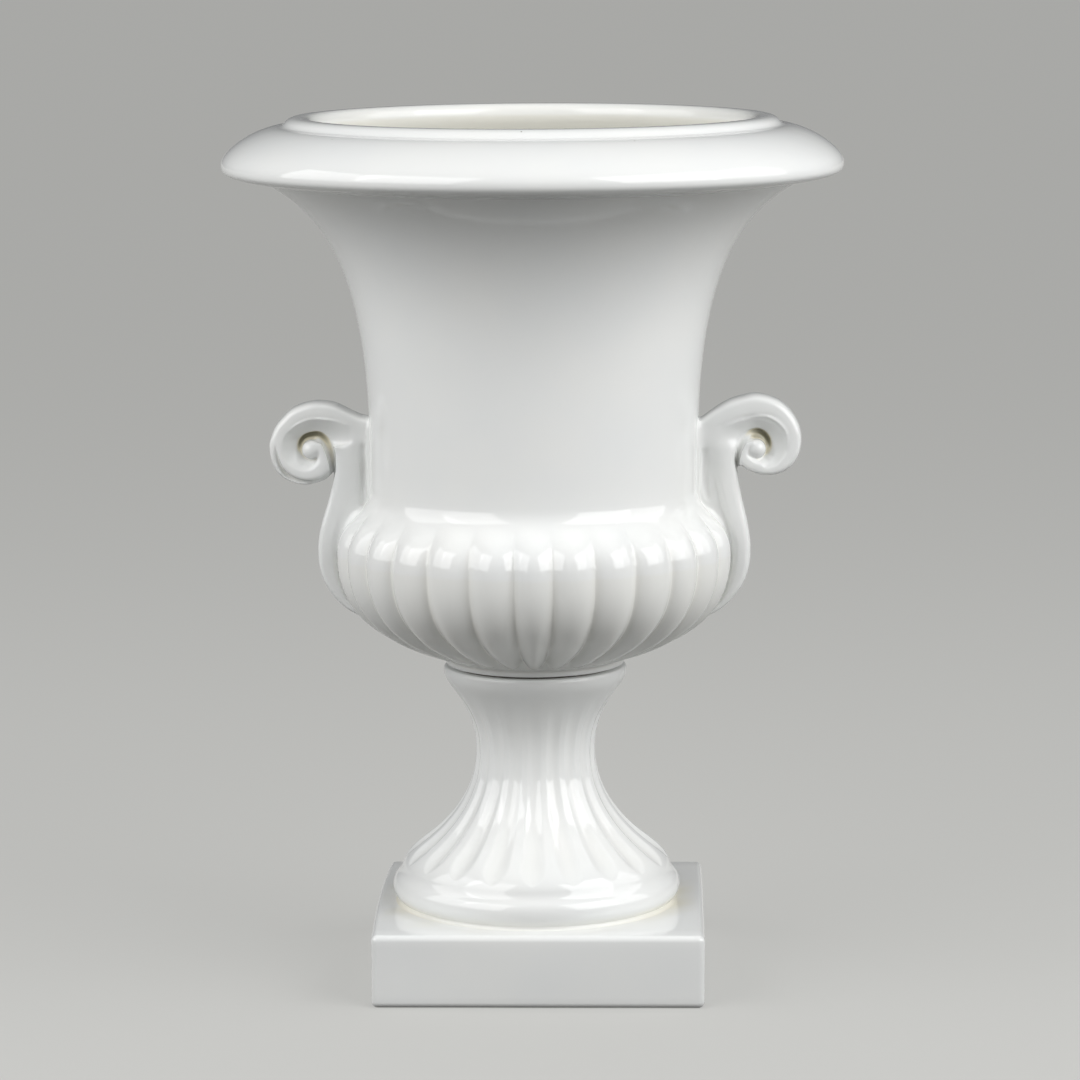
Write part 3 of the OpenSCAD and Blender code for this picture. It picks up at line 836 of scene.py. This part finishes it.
# Places are millimetres outward from the eye and above it, then half the thickness and half the
# width. A cutter's last two are half its width and its depth. The roll and the strip start with an
# angle round the eye and a distance from it. A blend is a line and a reach round it, in which the
# glaze ran smooth.
leftHandle = {
    "band": [(-29, 10.4, 4, 9), (-24.5, 10.8, 3.4, 9.1), (-20.5, 11.9, 3, 9.2),
             (-16.5, 13.6, 3, 9.3), (-12.5, 15.4, 3.2, 9.4), (-9, 16.8, 3.4, 9.4), (-5, 17.3, 3.6, 9.4)],
    "roll": [(90, 17.1, 3.7, 9.4), (68, 16.4, 3.55, 9.4), (50, 15.7, 3.35, 9.4), (33, 15.6, 3.3, 9.4),
             (15, 15.3, 3.3, 9.4), (0, 14.6, 3.1, 9.4), (-15, 13.3, 2.6, 9.4), (-35, 12.4, 2.9, 9.4),
             (-55, 12, 2.8, 9.4), (-79, 11.2, 3.2, 9.4), (-105, 10, 3.8, 9.3), (-135, 8.5, 4, 9.2),
             (-160, 6.9, 3.6, 9.2), (-185, 5.2, 2.8, 9.2), (-215, 3.6, 2.3, 9.2), (-250, 2.2, 1.9, 9.2)],
    "strip": [(62, 15.9, 1.3, 7.4), (40, 16.6, 1.6, 8.2), (15, 16.8, 1.8, 8.6), (0, 16.6, 1.85, 8.5),
              (-15, 16.5, 1.8, 8), (-35, 16.4, 1.8, 7.4), (-55, 15.4, 1.7, 6.8), (-79, 14.3, 1.75, 6.4),
              (-105, 13.1, 1.75, 6.2), (-122, 12.6, 1.7, 6), (-140, 11.4, 1.6, 5.6)],
    "lip": [(-21, 8.8, 0.8, 9), (-16, 11.3, 1, 9.6), (-11, 12.9, 1.1, 9.9), (-5, 13.9, 1.1, 10),
            (1, 13.5, 1.1, 10), (6, 11.4, 1.1, 10), (9.8, 8, 1.1, 10), (12.2, 4.2, 1.1, 9.8),
            (12.6, 0.5, 1, 9.2)],
    "channel": [(-20, 7.3, 2.4, 0.5), (-15, 7, 4.9, 2.2), (-10.5, 7.4, 5.8, 3.8), (-5.5, 8.3, 5.5, 4.6),
                (0, 9, 4.9, 4.9), (6, 6.2, 4.4, 4.9), (7.9, 3.9, 4.5, 4.7), (8.6, 0, 4.4, 4.1),
                (7.8, -3.4, 3.9, 2.9), (5.6, -5.8, 3.1, 1.5), (3.2, -7.2, 2.2, 0.4)],
    "channelWall": 0.6,
    "furrow": [(-6.2, -20.5, 1, 22), (-7.6, -16.8, 1, 22), (-9, -12.4, 1, 7.6),
               (-9.4, -8, 1.4, 7), (-9, -3.5, 1.9, 6.6), (-8, 0.5, 2.2, 6.8), (-6.2, 4.2, 2.1, 7.6),
               (-3.2, 6.5, 1.8, 8.3), (0.2, 6.4, 1.6, 8.8), (3.3, 5.3, 1.4, 8.8), (5.1, 2.9, 1.3, 8.4),
               (5.6, 0, 1.2, 7.2), (5.2, -2.5, 1, 4.8), (3.6, -4.5, 0.8, 2.2)],
    "crease": [(15.6, 4, 0.4, 0.3), (15.4, 0, 0.8, 1.2), (14.8, -4, 1, 2.6), (13, -8.6, 1.2, 4),
               (10, -11.8, 1.3, 4.8), (6.4, -13.6, 1.3, 4.6), (2.4, -14.3, 1.2, 3.8),
               (-2, -14, 1, 2.8)],
    "webs": [[(-21.5, -7, 4.5, 8.6), (-21.5, 1, 4.8, 9), (-21, 6, 5.2, 9), (-20.5, 11, 5.5, 9)],
             [(-12.5, -7, 6, 8.8), (-12, 1, 7, 9), (-11, 8, 7.6, 9), (-10.5, 14.5, 7.4, 9)],
             [(-21.5, -36, 6, 7.4), (-22, -22, 5.5, 6.6), (-22, 0, 5.5, 7.4)],
             [(-18.6, -24, 3.2, 9), (-18.6, -16, 3, 9.3), (-18.6, -4, 3, 9.3), (-18.4, 1, 3, 8.8)],
             [(-16, -44, 6, 8), (-18, -31, 6.5, 8.9), (-19.5, -24.5, 5.5, 8.8)]],
    "strapTop": (-14, 3.2, 9),  # where the strap starts to narrow, its top, half its width there
    "strapSquare": (0.5, 0.5, 0.35),
    "blend": [(-15, -2, -20, -1, 7), (-19, 8, -21, 4, 6), (-18, -2, -18.5, -24, 4.5),
              (-18, -28, -14, -42, 8)],
    "groove": [(-22.6, 4, 1, 1.2), (-22.7, 0.5, 1.5, 3.2), (-22.7, -5, 1.6, 3.6),
               (-22.6, -12, 1.6, 3.6), (-22.5, -18, 1.6, 3.4), (-22.7, -21.5, 1.4, 2.4)],
    "riseR": 81.4,  # radius to which the strap leans in at its top
}
rightHandle = {
    "band": [(-28, 8.5, 4, 9), (-23, 9.8, 3.6, 9.1), (-19, 12.2, 3.8, 9.2), (-15, 14.6, 4.2, 9.3),
             (-10, 17, 4.6, 9.4), (-5, 18.5, 4.6, 9.4)],
    "roll": [(90, 19.2, 4.8, 9.4), (67, 19.2, 4.2, 9.4), (45, 18.5, 3.8, 9.4), (22, 17.5, 3.5, 9.4),
             (0, 15.8, 3.6, 9.4), (-20, 14.3, 3.5, 9.4), (-40, 12.2, 3.3, 9.4), (-65, 9.6, 3.1, 9.4),
             (-90, 7.8, 3, 9.4), (-120, 7, 3, 9.3), (-150, 6.7, 2.9, 9.2), (-180, 5.7, 2.3, 9.2),
             (-215, 4.4, 1.8, 9.2), (-250, 3, 1.5, 9.2)],
    "strip": [],
    "lip": [(-6, 13.6, 1, 7.6), (-2, 14.4, 1.3, 9), (2, 14.9, 1.5, 9.6), (5.5, 14.4, 1.6, 9.9),
            (9.6, 12, 1.6, 10), (12.6, 8.2, 1.6, 9.9), (13.4, 4, 1.4, 9.6), (12.9, 0, 1.2, 9)],
    "channel": [(-19, 4.8, 2.2, 0.5), (-15, 5.8, 4.4, 1.5), (-10.5, 7.2, 5.4, 2.7), (-5.5, 8.4, 5.7, 3.8),
                (0, 9.6, 5.5, 4.7), (5.6, 7.9, 5.5, 4.9), (8.4, 4.3, 5.2, 4.6), (8.7, 0, 4.5, 3.8),
                (7.3, -3.6, 3.9, 2.7), (5, -6.2, 2.9, 1.3), (2.8, -7.3, 2, 0.4)],
    "channelWall": 1,
    "furrow": [(-4.8, -17, 1, 22), (-6.4, -13, 1, 22), (-7.9, -9, 0.9, 7.4),
               (-8.5, -5.5, 1.1, 6.4), (-8, -2, 1.3, 5.2), (-7.2, 1.2, 1.7, 5), (-5.4, 4.9, 2, 5.6),
               (-2.2, 7.2, 2, 7.2), (1.6, 7.3, 1.9, 8.6), (4.6, 4.9, 1.7, 8.8), (5.8, 1.6, 1.4, 8),
               (5.8, -1.6, 1.2, 5.6), (4.7, -3.9, 0.9, 2.8), (2.2, -4.9, 0.6, 1.4)],
    "crease": [],
    "webs": [[(-20.5, -9, 4.5, 7), (-20.5, 0, 5, 8), (-20, 6, 5.2, 8.8), (-19.5, 11, 5.5, 9)],
             [(-12.5, -7, 5.5, 8.6), (-11.5, 1, 6.6, 8.8), (-10.5, 8, 7.6, 8.9), (-10, 15.5, 7.6, 9)],
             [(-18.5, -38, 8.5, 6.4), (-19.5, -24, 8, 6.6), (-21.5, 0, 6, 7.2)]],
    "strapTop": (-14, 5, 8.6),
    "strapSquare": (0.65, 0.6, 0.5),
    "blend": [(-13, 5, -21, 5, 9), (-13, 1, -16, -8, 9), (-20, -30, -14, -42, 8)],
    "groove": [(-22.6, 3, 1.6, 1), (-22.4, -1.5, 2.3, 3), (-22.4, -7, 2.4, 3.8),
               (-22.4, -13, 2.4, 3.8), (-21.9, -18, 2.6, 3.8), (-20.9, -22.5, 2.6, 3.2),
               (-19.6, -25.5, 2, 1.6)],
    "riseR": 83.2,
}


def smoothLine(points, perSpan=6):
    # a Catmull-Rom line through the points
    ends = [points[0]] + list(points) + [points[-1]]
    line = []
    for k in range(1, len(ends) - 2):
        for i in range(perSpan):
            t = i / perSpan
            place = []
            for p, q, r, s in zip(*ends[k - 1 : k + 3]):
                bend = (2 * p - 5 * q + 4 * r - s) * t * t + (3 * q - p - 3 * r + s) * t**3
                place.append(0.5 * (2 * q + (r - p) * t + bend))
            line.append(tuple(place))
    return line + [tuple(points[-1])]


def roundEye(table):
    line = []
    for degrees, r, half, across in table:
        a = math.radians(degrees)
        line.append((r * math.cos(a), r * math.sin(a), half, across))
    return line


def sweep(bm, stations, sides=28, square=(0.62, 0.45, 0.45), lean=0.0, side=0):
    # Extrudes a rounded section from station to station. The lower the three powers in square are,
    # the squarer it is: along its thickness, then across on the left and on the right of its way.
    # Lean makes the right edge wider. With a side it is a cutter in that face of the handle.
    h = handleSize
    matrices = []
    for i, (u, z, half, across) in enumerate(stations):
        before, after = stations[max(i - 1, 0)], stations[min(i + 1, len(stations) - 1)]
        d = Vector((after[0] - before[0], 0, after[1] - before[1])).normalized()
        m = Matrix.Identity(4)
        for k, axis in enumerate((Vector((d.z, 0, -d.x)) * half, Vector((0, 1, 0)) * across, d)):
            m[0][k], m[1][k], m[2][k] = axis
        m[0][3] = h["eyeR"] + u
        m[1][3] = side * (h["halfWide"] + h["cutterOut"])
        m[2][3] = vesselSize["jointH"] + h["eyeH"] + z
        matrices.append(m)
    ring = bmesh.ops.create_circle(bm, cap_ends=False, radius=1, segments=sides)["verts"]
    for v in ring:
        x = math.copysign(abs(v.co.x) ** square[0], v.co.x)
        y = math.copysign(abs(v.co.y) ** mix(square[1], square[2], (x + 1) / 2), v.co.y)
        v.co = (x, y * (1 + lean * x), 0)
    bmesh.ops.transform(bm, matrix=matrices[0], verts=ring)
    edges = list({e for v in ring for e in v.link_edges})
    bmesh.ops.contextual_create(bm, geom=edges)
    for before, after in zip(matrices, matrices[1:]):
        made = bmesh.ops.extrude_edge_only(bm, edges=edges)["geom"]
        verts = {g for g in made if isinstance(g, bmesh.types.BMVert)}
        bmesh.ops.transform(bm, matrix=after @ before.inverted(), verts=list(verts))
        edges = [g for g in made if isinstance(g, bmesh.types.BMEdge) and set(g.verts) <= verts]
    bmesh.ops.contextual_create(bm, geom=edges)


def strapStations(shape):
    # up the belly on its glaze, then free of it and leaning in to the scroll
    h = handleSize
    endHalf, bellyHalf, topHalf = h["strapHalf"]
    count = h["strapRows"]
    line = []
    for i in range(count):
        t = mix(h["strapFrom"], 1, i / (count - 1))
        r, z = bezier(bellyCurve(), t)
        (ra, za), (rb, zb) = bezier(bellyCurve(), t - 0.01), bezier(bellyCurve(), min(t + 0.01, 1))
        d = Vector((rb - ra, zb - za)).normalized()
        half = mix(endHalf, bellyHalf, rise(i, *h["strapThickens"]))
        out = mix(-h["strapSunk"], half - h["strapLaid"], rise(i, *h["strapComesOut"]))
        across = h["halfWide"] * mix(h["strapTip"], 1, rise(i, *h["strapWidens"]))
        line.append((r + out * d.y - h["eyeR"], z - out * d.x - h["eyeH"], half, across))
    narrowFrom, top, narrow = shape["strapTop"]
    lean = [(shape["riseR"] + 0.2, h["strapTurnH"]), (shape["riseR"], h["eyeH"] + top)]
    for i in range(1, count + 1):
        r, z = bezier(h["strapRise"] + lean, i / count)
        above = (max(z - h["eyeH"], narrowFrom) - narrowFrom) / (top - narrowFrom)
        half = mix(bellyHalf, topHalf, rise(i, *h["strapSwells"]))
        line.append((r - h["eyeR"], z - h["eyeH"], half, mix(h["halfWide"], narrow, above**2)))
    return line


def addVoluteFloor(bm, shape):
    # a thin-middled disc whose edge stays inside the roll all round
    h = handleSize
    edge = h["floorLine"]
    outline = edge + [(r, -y) for r, y in reversed(edge)]
    spinLine(bm, [bm.verts.new((r, 0, y)) for r, y in outline], 72, closed=False)
    disc = [v for v in bm.verts if v.co.length < 10]  # the other pieces stand round the eye already
    bmesh.ops.remove_doubles(bm, verts=[v for v in disc if v.co.xy.length < 0.001], dist=0.001)
    roll = [(a, r) for a, r, _, _ in reversed(shape["roll"]) if a > -150]
    reaches = h["floorStart"] + roll + h["floorEnd"]
    for v in disc:
        if v.is_valid:
            reach = along(reaches, math.degrees(math.atan2(v.co.y, v.co.x)))
            up = vesselSize["jointH"] + h["eyeH"] + v.co.y * reach
            v.co = (h["eyeR"] + v.co.x * reach, v.co.z, up)


def handleParts(shape):
    h = handleSize
    bm = bmesh.new()
    sweep(bm, smoothLine(shape["band"] + roundEye(shape["roll"])), square=(0.5, 0.75, 0.25), lean=0.02)
    sweep(bm, smoothLine(shape["lip"]), sides=16, square=(1.0, 0.8, 0.8))
    if shape["strip"]:
        sweep(bm, smoothLine(roundEye(shape["strip"])))
    sweep(bm, strapStations(shape), square=shape["strapSquare"])
    for web in shape["webs"]:
        sweep(bm, web, square=(0.45, 0.3, 0.3))
    for side in (-1, 1):
        first = len(bm.verts)
        sweep(bm, smoothLine(h["corner"], 5), sides=18, square=(1.0, 1.0, 1.0))
        bm.verts.ensure_lookup_table()
        bmesh.ops.translate(bm, verts=bm.verts[first:], vec=(0, side * h["cornerAcross"], 0))
    addVoluteFloor(bm, shape)
    # the eye is a ball on each face, with a core between them
    eye, sunk = h["eye"], h["eyeSunk"]
    eyeZ = vesselSize["jointH"] + h["eyeH"] + h["eyeLift"]
    for side in (-1, 1):
        ball = bmesh.ops.create_uvsphere(bm, u_segments=32, v_segments=20, radius=eye)["verts"]
        bmesh.ops.translate(bm, verts=ball, vec=(h["eyeR"], side * sunk, eyeZ))
    core = bmesh.ops.create_cone(bm, cap_ends=True, segments=32, radius1=eye, radius2=eye, depth=2 * sunk)
    turn = Matrix.Translation((h["eyeR"], 0, eyeZ)) @ Matrix.Rotation(math.pi / 2, 4, "X")
    bmesh.ops.transform(bm, matrix=turn, verts=core["verts"])
    return bm


def handleCuts(shape):
    bm = bmesh.new()
    for side in (-1, 1):
        sweep(bm, smoothLine(shape["channel"]), square=(1, 1, shape["channelWall"]), lean=0.85, side=side)
        for kind in ("furrow", "groove", "crease"):
            if shape[kind]:
                sweep(bm, smoothLine(shape[kind]), square=(1, 0.8, 0.8), side=side)
    return bm


def remesh(helper):
    skin = helper.modifiers.new("glazeSkin", "REMESH")
    skin.mode, skin.voxel_size = "VOXEL", handleSize["voxel"]


def smooth(helper, iterations, group=""):
    run = helper.modifiers.new("glazeSoftening", "SMOOTH")
    run.factor, run.iterations, run.vertex_group = 0.5, iterations, group
    return run


def fromEye(co, side):
    # how far outward from the eye and above it a place lies
    return side * co.x - handleSize["eyeR"], co.z - vesselSize["jointH"] - handleSize["eyeH"]


def blendShare(shape, u, z):
    # how far a place lies inside the nearest of the handle's blends
    share = 0.0
    for ua, za, ub, zb, reach in shape["blend"]:
        d = Vector((ub - ua, zb - za))
        t = min(max(Vector((u - ua, z - za)).dot(d) / d.length_squared, 0), 1)
        away = math.hypot(u - ua - t * d.x, z - za - t * d.y)
        share = max(share, rise(away, reach, handleSize["blendWhole"] * reach) ** 3)
    return share


def handlePoolAndShade(co, side, hollow):
    # deep pooled glaze with painted shade between the roll and the eye; thin pooled glaze in other
    # hollows, which reaches a little into the painted shade in the scroll
    u, z = fromEye(co, side)
    h = handleSize
    depth, away = h["halfWide"] - abs(co.y), math.hypot(u + h["poolShadeBeside"], z)
    deepPoolShade = rise(depth, *h["poolShadeUnder"]) * rise(away, *h["poolShadeRound"])
    scroll = rise(u, *h["scrollOut"]) * rise(z, *h["scrollUp"])
    return max(deepPoolShade, mix(*h["thinPools"], scroll) * rise(hollow, *h["hollowPools"]))


def makeHandle(name, node, shape, side):
    h = handleSize
    azimuth = 0.0 if side > 0 else math.pi
    turn = Matrix.Rotation(azimuth, 4, "Z")
    parts = handleParts(shape)
    bmesh.ops.transform(parts, matrix=turn, verts=parts.verts)
    heights = (h["lowest"], h["eyeH"] + h["above"])
    skirt = vesselSector(azimuth, math.radians(h["skirtAngle"]), heights, h["skirt"], h["skirtBack"])
    sheet = bpy.data.meshes.new("skirt")
    skirt.to_mesh(sheet)
    skirt.free()
    parts.from_mesh(sheet)
    cuts = handleCuts(shape)
    bmesh.ops.transform(cuts, matrix=turn, verts=cuts.verts)
    heights = (h["lowest"] - h["clearBeyond"], h["eyeH"] + h["above"] + h["clearBeyond"])
    inside = vesselSector(azimuth, math.radians(h["clearAngle"]), heights, h["clearFrom"], h["clearTo"])
    body = helperObject(parts, name + "Parts")
    tools = helperObject(cuts, name + "Cuts")
    wall = helperObject(inside, name + "Inside")
    remesh(tools)
    remesh(body)
    cutWith(body, tools, "MANIFOLD")
    remesh(body)
    soften = smooth(body, h["hollowSoftening"])
    smoother = evaluatedMesh(body)
    soften.iterations = h["softening"]
    softened = evaluatedMesh(body)
    # how hollow the form is at each point, from what more smoothing would fill in
    tree = kdtree.KDTree(len(softened.vertices))
    hollows = []
    for i, (v, w) in enumerate(zip(softened.vertices, smoother.vertices)):
        tree.insert(v.co, i)
        hollows.append(max(0.0, (w.co - v.co).dot(v.normal)))
    tree.balance()
    # the glaze ran smooth where the pieces of slip meet
    blended = objectOf(softened, name + "Blended")
    group = blended.vertex_groups.new(name="ranSmooth")
    for i, v in enumerate(softened.vertices):
        share = blendShare(shape, *fromEye(v.co, side))
        if share > 0:
            group.add([i], share, "REPLACE")
    smooth(blended, h["runSoftening"], group.name)
    cutWith(blended, wall, "MANIFOLD")
    final = evaluatedMesh(blended)
    for helper in (body, tools, wall, blended):
        bpy.data.objects.remove(helper)
    bm = bmesh.new()
    bm.from_mesh(final)
    poolOf = bm.verts.layers.float.new("pool")
    for v in bm.verts:
        v[poolOf] = handlePoolAndShade(v.co, side, hollows[tree.find(v.co)[1]])
    finishPiece(bm, name, [node], [whiteGlaze], sharp=180)


# The hidden hardware keeps its solids and gets its finish

hardware = [
    (pressedCork, ["joint_gasket"]),
    (mouldedRubber, ["bolt_seal_upper", "bolt_seal_lower"]),
    (zincPlatedSteel, ["tie_bolt", "tie_nut", "bolt_washer_upper", "bolt_washer_lower"]),
]


def dressHardware():
    for material, nodes in hardware:
        for node in nodes:
            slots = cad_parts[node].data.materials
            slots.clear()
            slots.append(material)


# Studio

studio = {
    "floor": "C9C9C6",  # the paper as it is seen
    "bounce": "4C4C4A",  # the paper as it lights the urn, which stood on black
    "lift": 0.62,  # share of the seen paper's tone that doesn't depend on the lamps
    "sky": "F4F6F8",
    "skyStrength": 0.16,
    "floorHalf": 40.0,
    "aim": (0, 0, 0.2),
    # degrees round from the front and up, metres away, width and height, power in watts
    "boxes": [
        ("softboxLeft", -44, 28, 1.35, 0.9, 1.1, 9.2),
        ("softboxRight", 51, 28, 1.35, 0.95, 1.1, 12.6),
        ("panelLeft", -80, 25, 1.35, 0.9, 1.0, 6.2),
        ("panelRight", 85, 25, 1.35, 0.9, 1.0, 6.0),
    ],
}


def mattPaper():
    # matt background paper, pale to the camera and in the glaze's reflections
    material, tree = newMaterial("mattPaper")
    ray = addNode(tree, "LightPath")
    seen = ray.outputs["Is Camera Ray"]
    for kind in ("Is Glossy Ray", "Is Transmission Ray"):
        either = {0: seen, 1: ray.outputs[kind]}
        seen = addNode(tree, "Math", {"operation": "MAXIMUM"}, either).outputs["Value"]
    shades = {"Factor": seen, "A": linear(studio["bounce"]), "B": linear(studio["floor"])}
    colour = addNode(tree, "Mix", {"data_type": "RGBA"}, shades)
    paper = addNode(tree, "BsdfDiffuse", inputs={"Color": colour.outputs["Result"]})
    glow = addNode(tree, "Emission", inputs={"Color": linear(studio["floor"])})
    share = addNode(tree, "Math", {"operation": "MULTIPLY"}, {0: seen, 1: studio["lift"]})
    both = {0: share.outputs["Value"], 1: paper.outputs["BSDF"], 2: glow.outputs["Emission"]}
    shader = addNode(tree, "MixShader", inputs=both)
    addNode(tree, "OutputMaterial", inputs={"Surface": shader.outputs["Shader"]})
    return material


def makeStudio():
    k = studio
    bm = bmesh.new()
    bmesh.ops.create_grid(bm, x_segments=2, y_segments=2, size=k["floorHalf"])
    mesh = bpy.data.meshes.new("studioFloor")
    bm.to_mesh(mesh)
    bm.free()
    mesh.materials.append(mattPaper())
    floor = objectOf(mesh, "studioFloor")
    world = bpy.data.worlds.new("studioWorld")
    world.use_nodes = True
    tree = world.node_tree
    tree.nodes.clear()
    tone = {"Color": linear(k["sky"]), "Strength": k["skyStrength"]}
    sky = addNode(tree, "Background", inputs=tone)
    addNode(tree, "OutputWorld", inputs={"Surface": sky.outputs["Background"]})
    bpy.context.scene.world = world
    aim = Vector(k["aim"])
    for name, azimuth, elevation, distance, width, height, power in k["boxes"]:
        a, e = math.radians(azimuth), math.radians(elevation)
        lamp = bpy.data.lights.new(name, "AREA")
        lamp.shape, lamp.size, lamp.size_y, lamp.energy = "RECTANGLE", width, height, power
        holder = objectOf(lamp, name)
        away = Vector((math.cos(e) * math.sin(a), -math.cos(e) * math.cos(a), math.sin(e)))
        facing = away.to_track_quat("Z", "Y").to_matrix().to_4x4()
        holder.matrix_world = Matrix.Translation(aim + distance * away) @ facing


# the photograph's camera: lens and sensor, place and height in millimetres, angles in degrees
shot = {
    "focal": 143.2,
    "sensor": 36.0,
    "distance": 1871.0,
    "height": 485.0,
    "azimuth": 1.7,
    "pan": -0.0747,
    "pitch": 8.858,
    "roll": -0.32,
}


def makeCamera():
    k = shot
    a = math.radians(k["azimuth"])
    data = bpy.data.cameras.new("photoCamera")
    data.lens, data.sensor_width, data.sensor_fit = k["focal"], k["sensor"], "HORIZONTAL"
    data.clip_start, data.clip_end = 0.05, 200
    camera = objectOf(data, "photoCamera")
    place = Vector((math.sin(a) * k["distance"], -math.cos(a) * k["distance"], k["height"])) * mm
    turn = Matrix.Rotation(math.radians(k["azimuth"] + k["pan"]), 4, "Z")
    tilt = Matrix.Rotation(math.radians(90 - k["pitch"]), 4, "X")
    roll = Matrix.Rotation(math.radians(k["roll"]), 4, "Z")
    camera.matrix_world = Matrix.Translation(place) @ turn @ tilt @ roll
    bpy.context.scene.camera = camera


makeVessel()
print("vessel made")
makeRim()
print("rim made")
makeFoot()
print("foot made")
makePlinth()
print("plinth made")
makeHandle("scrollHandleRight", "handle_right", rightHandle, 1)
makeHandle("scrollHandleLeft", "handle_left", leftHandle, -1)
print("handles made")
dressHardware()
makeStudio()
makeCamera()
bpy.context.scene.view_settings.view_transform = "Standard"
print("studio made")
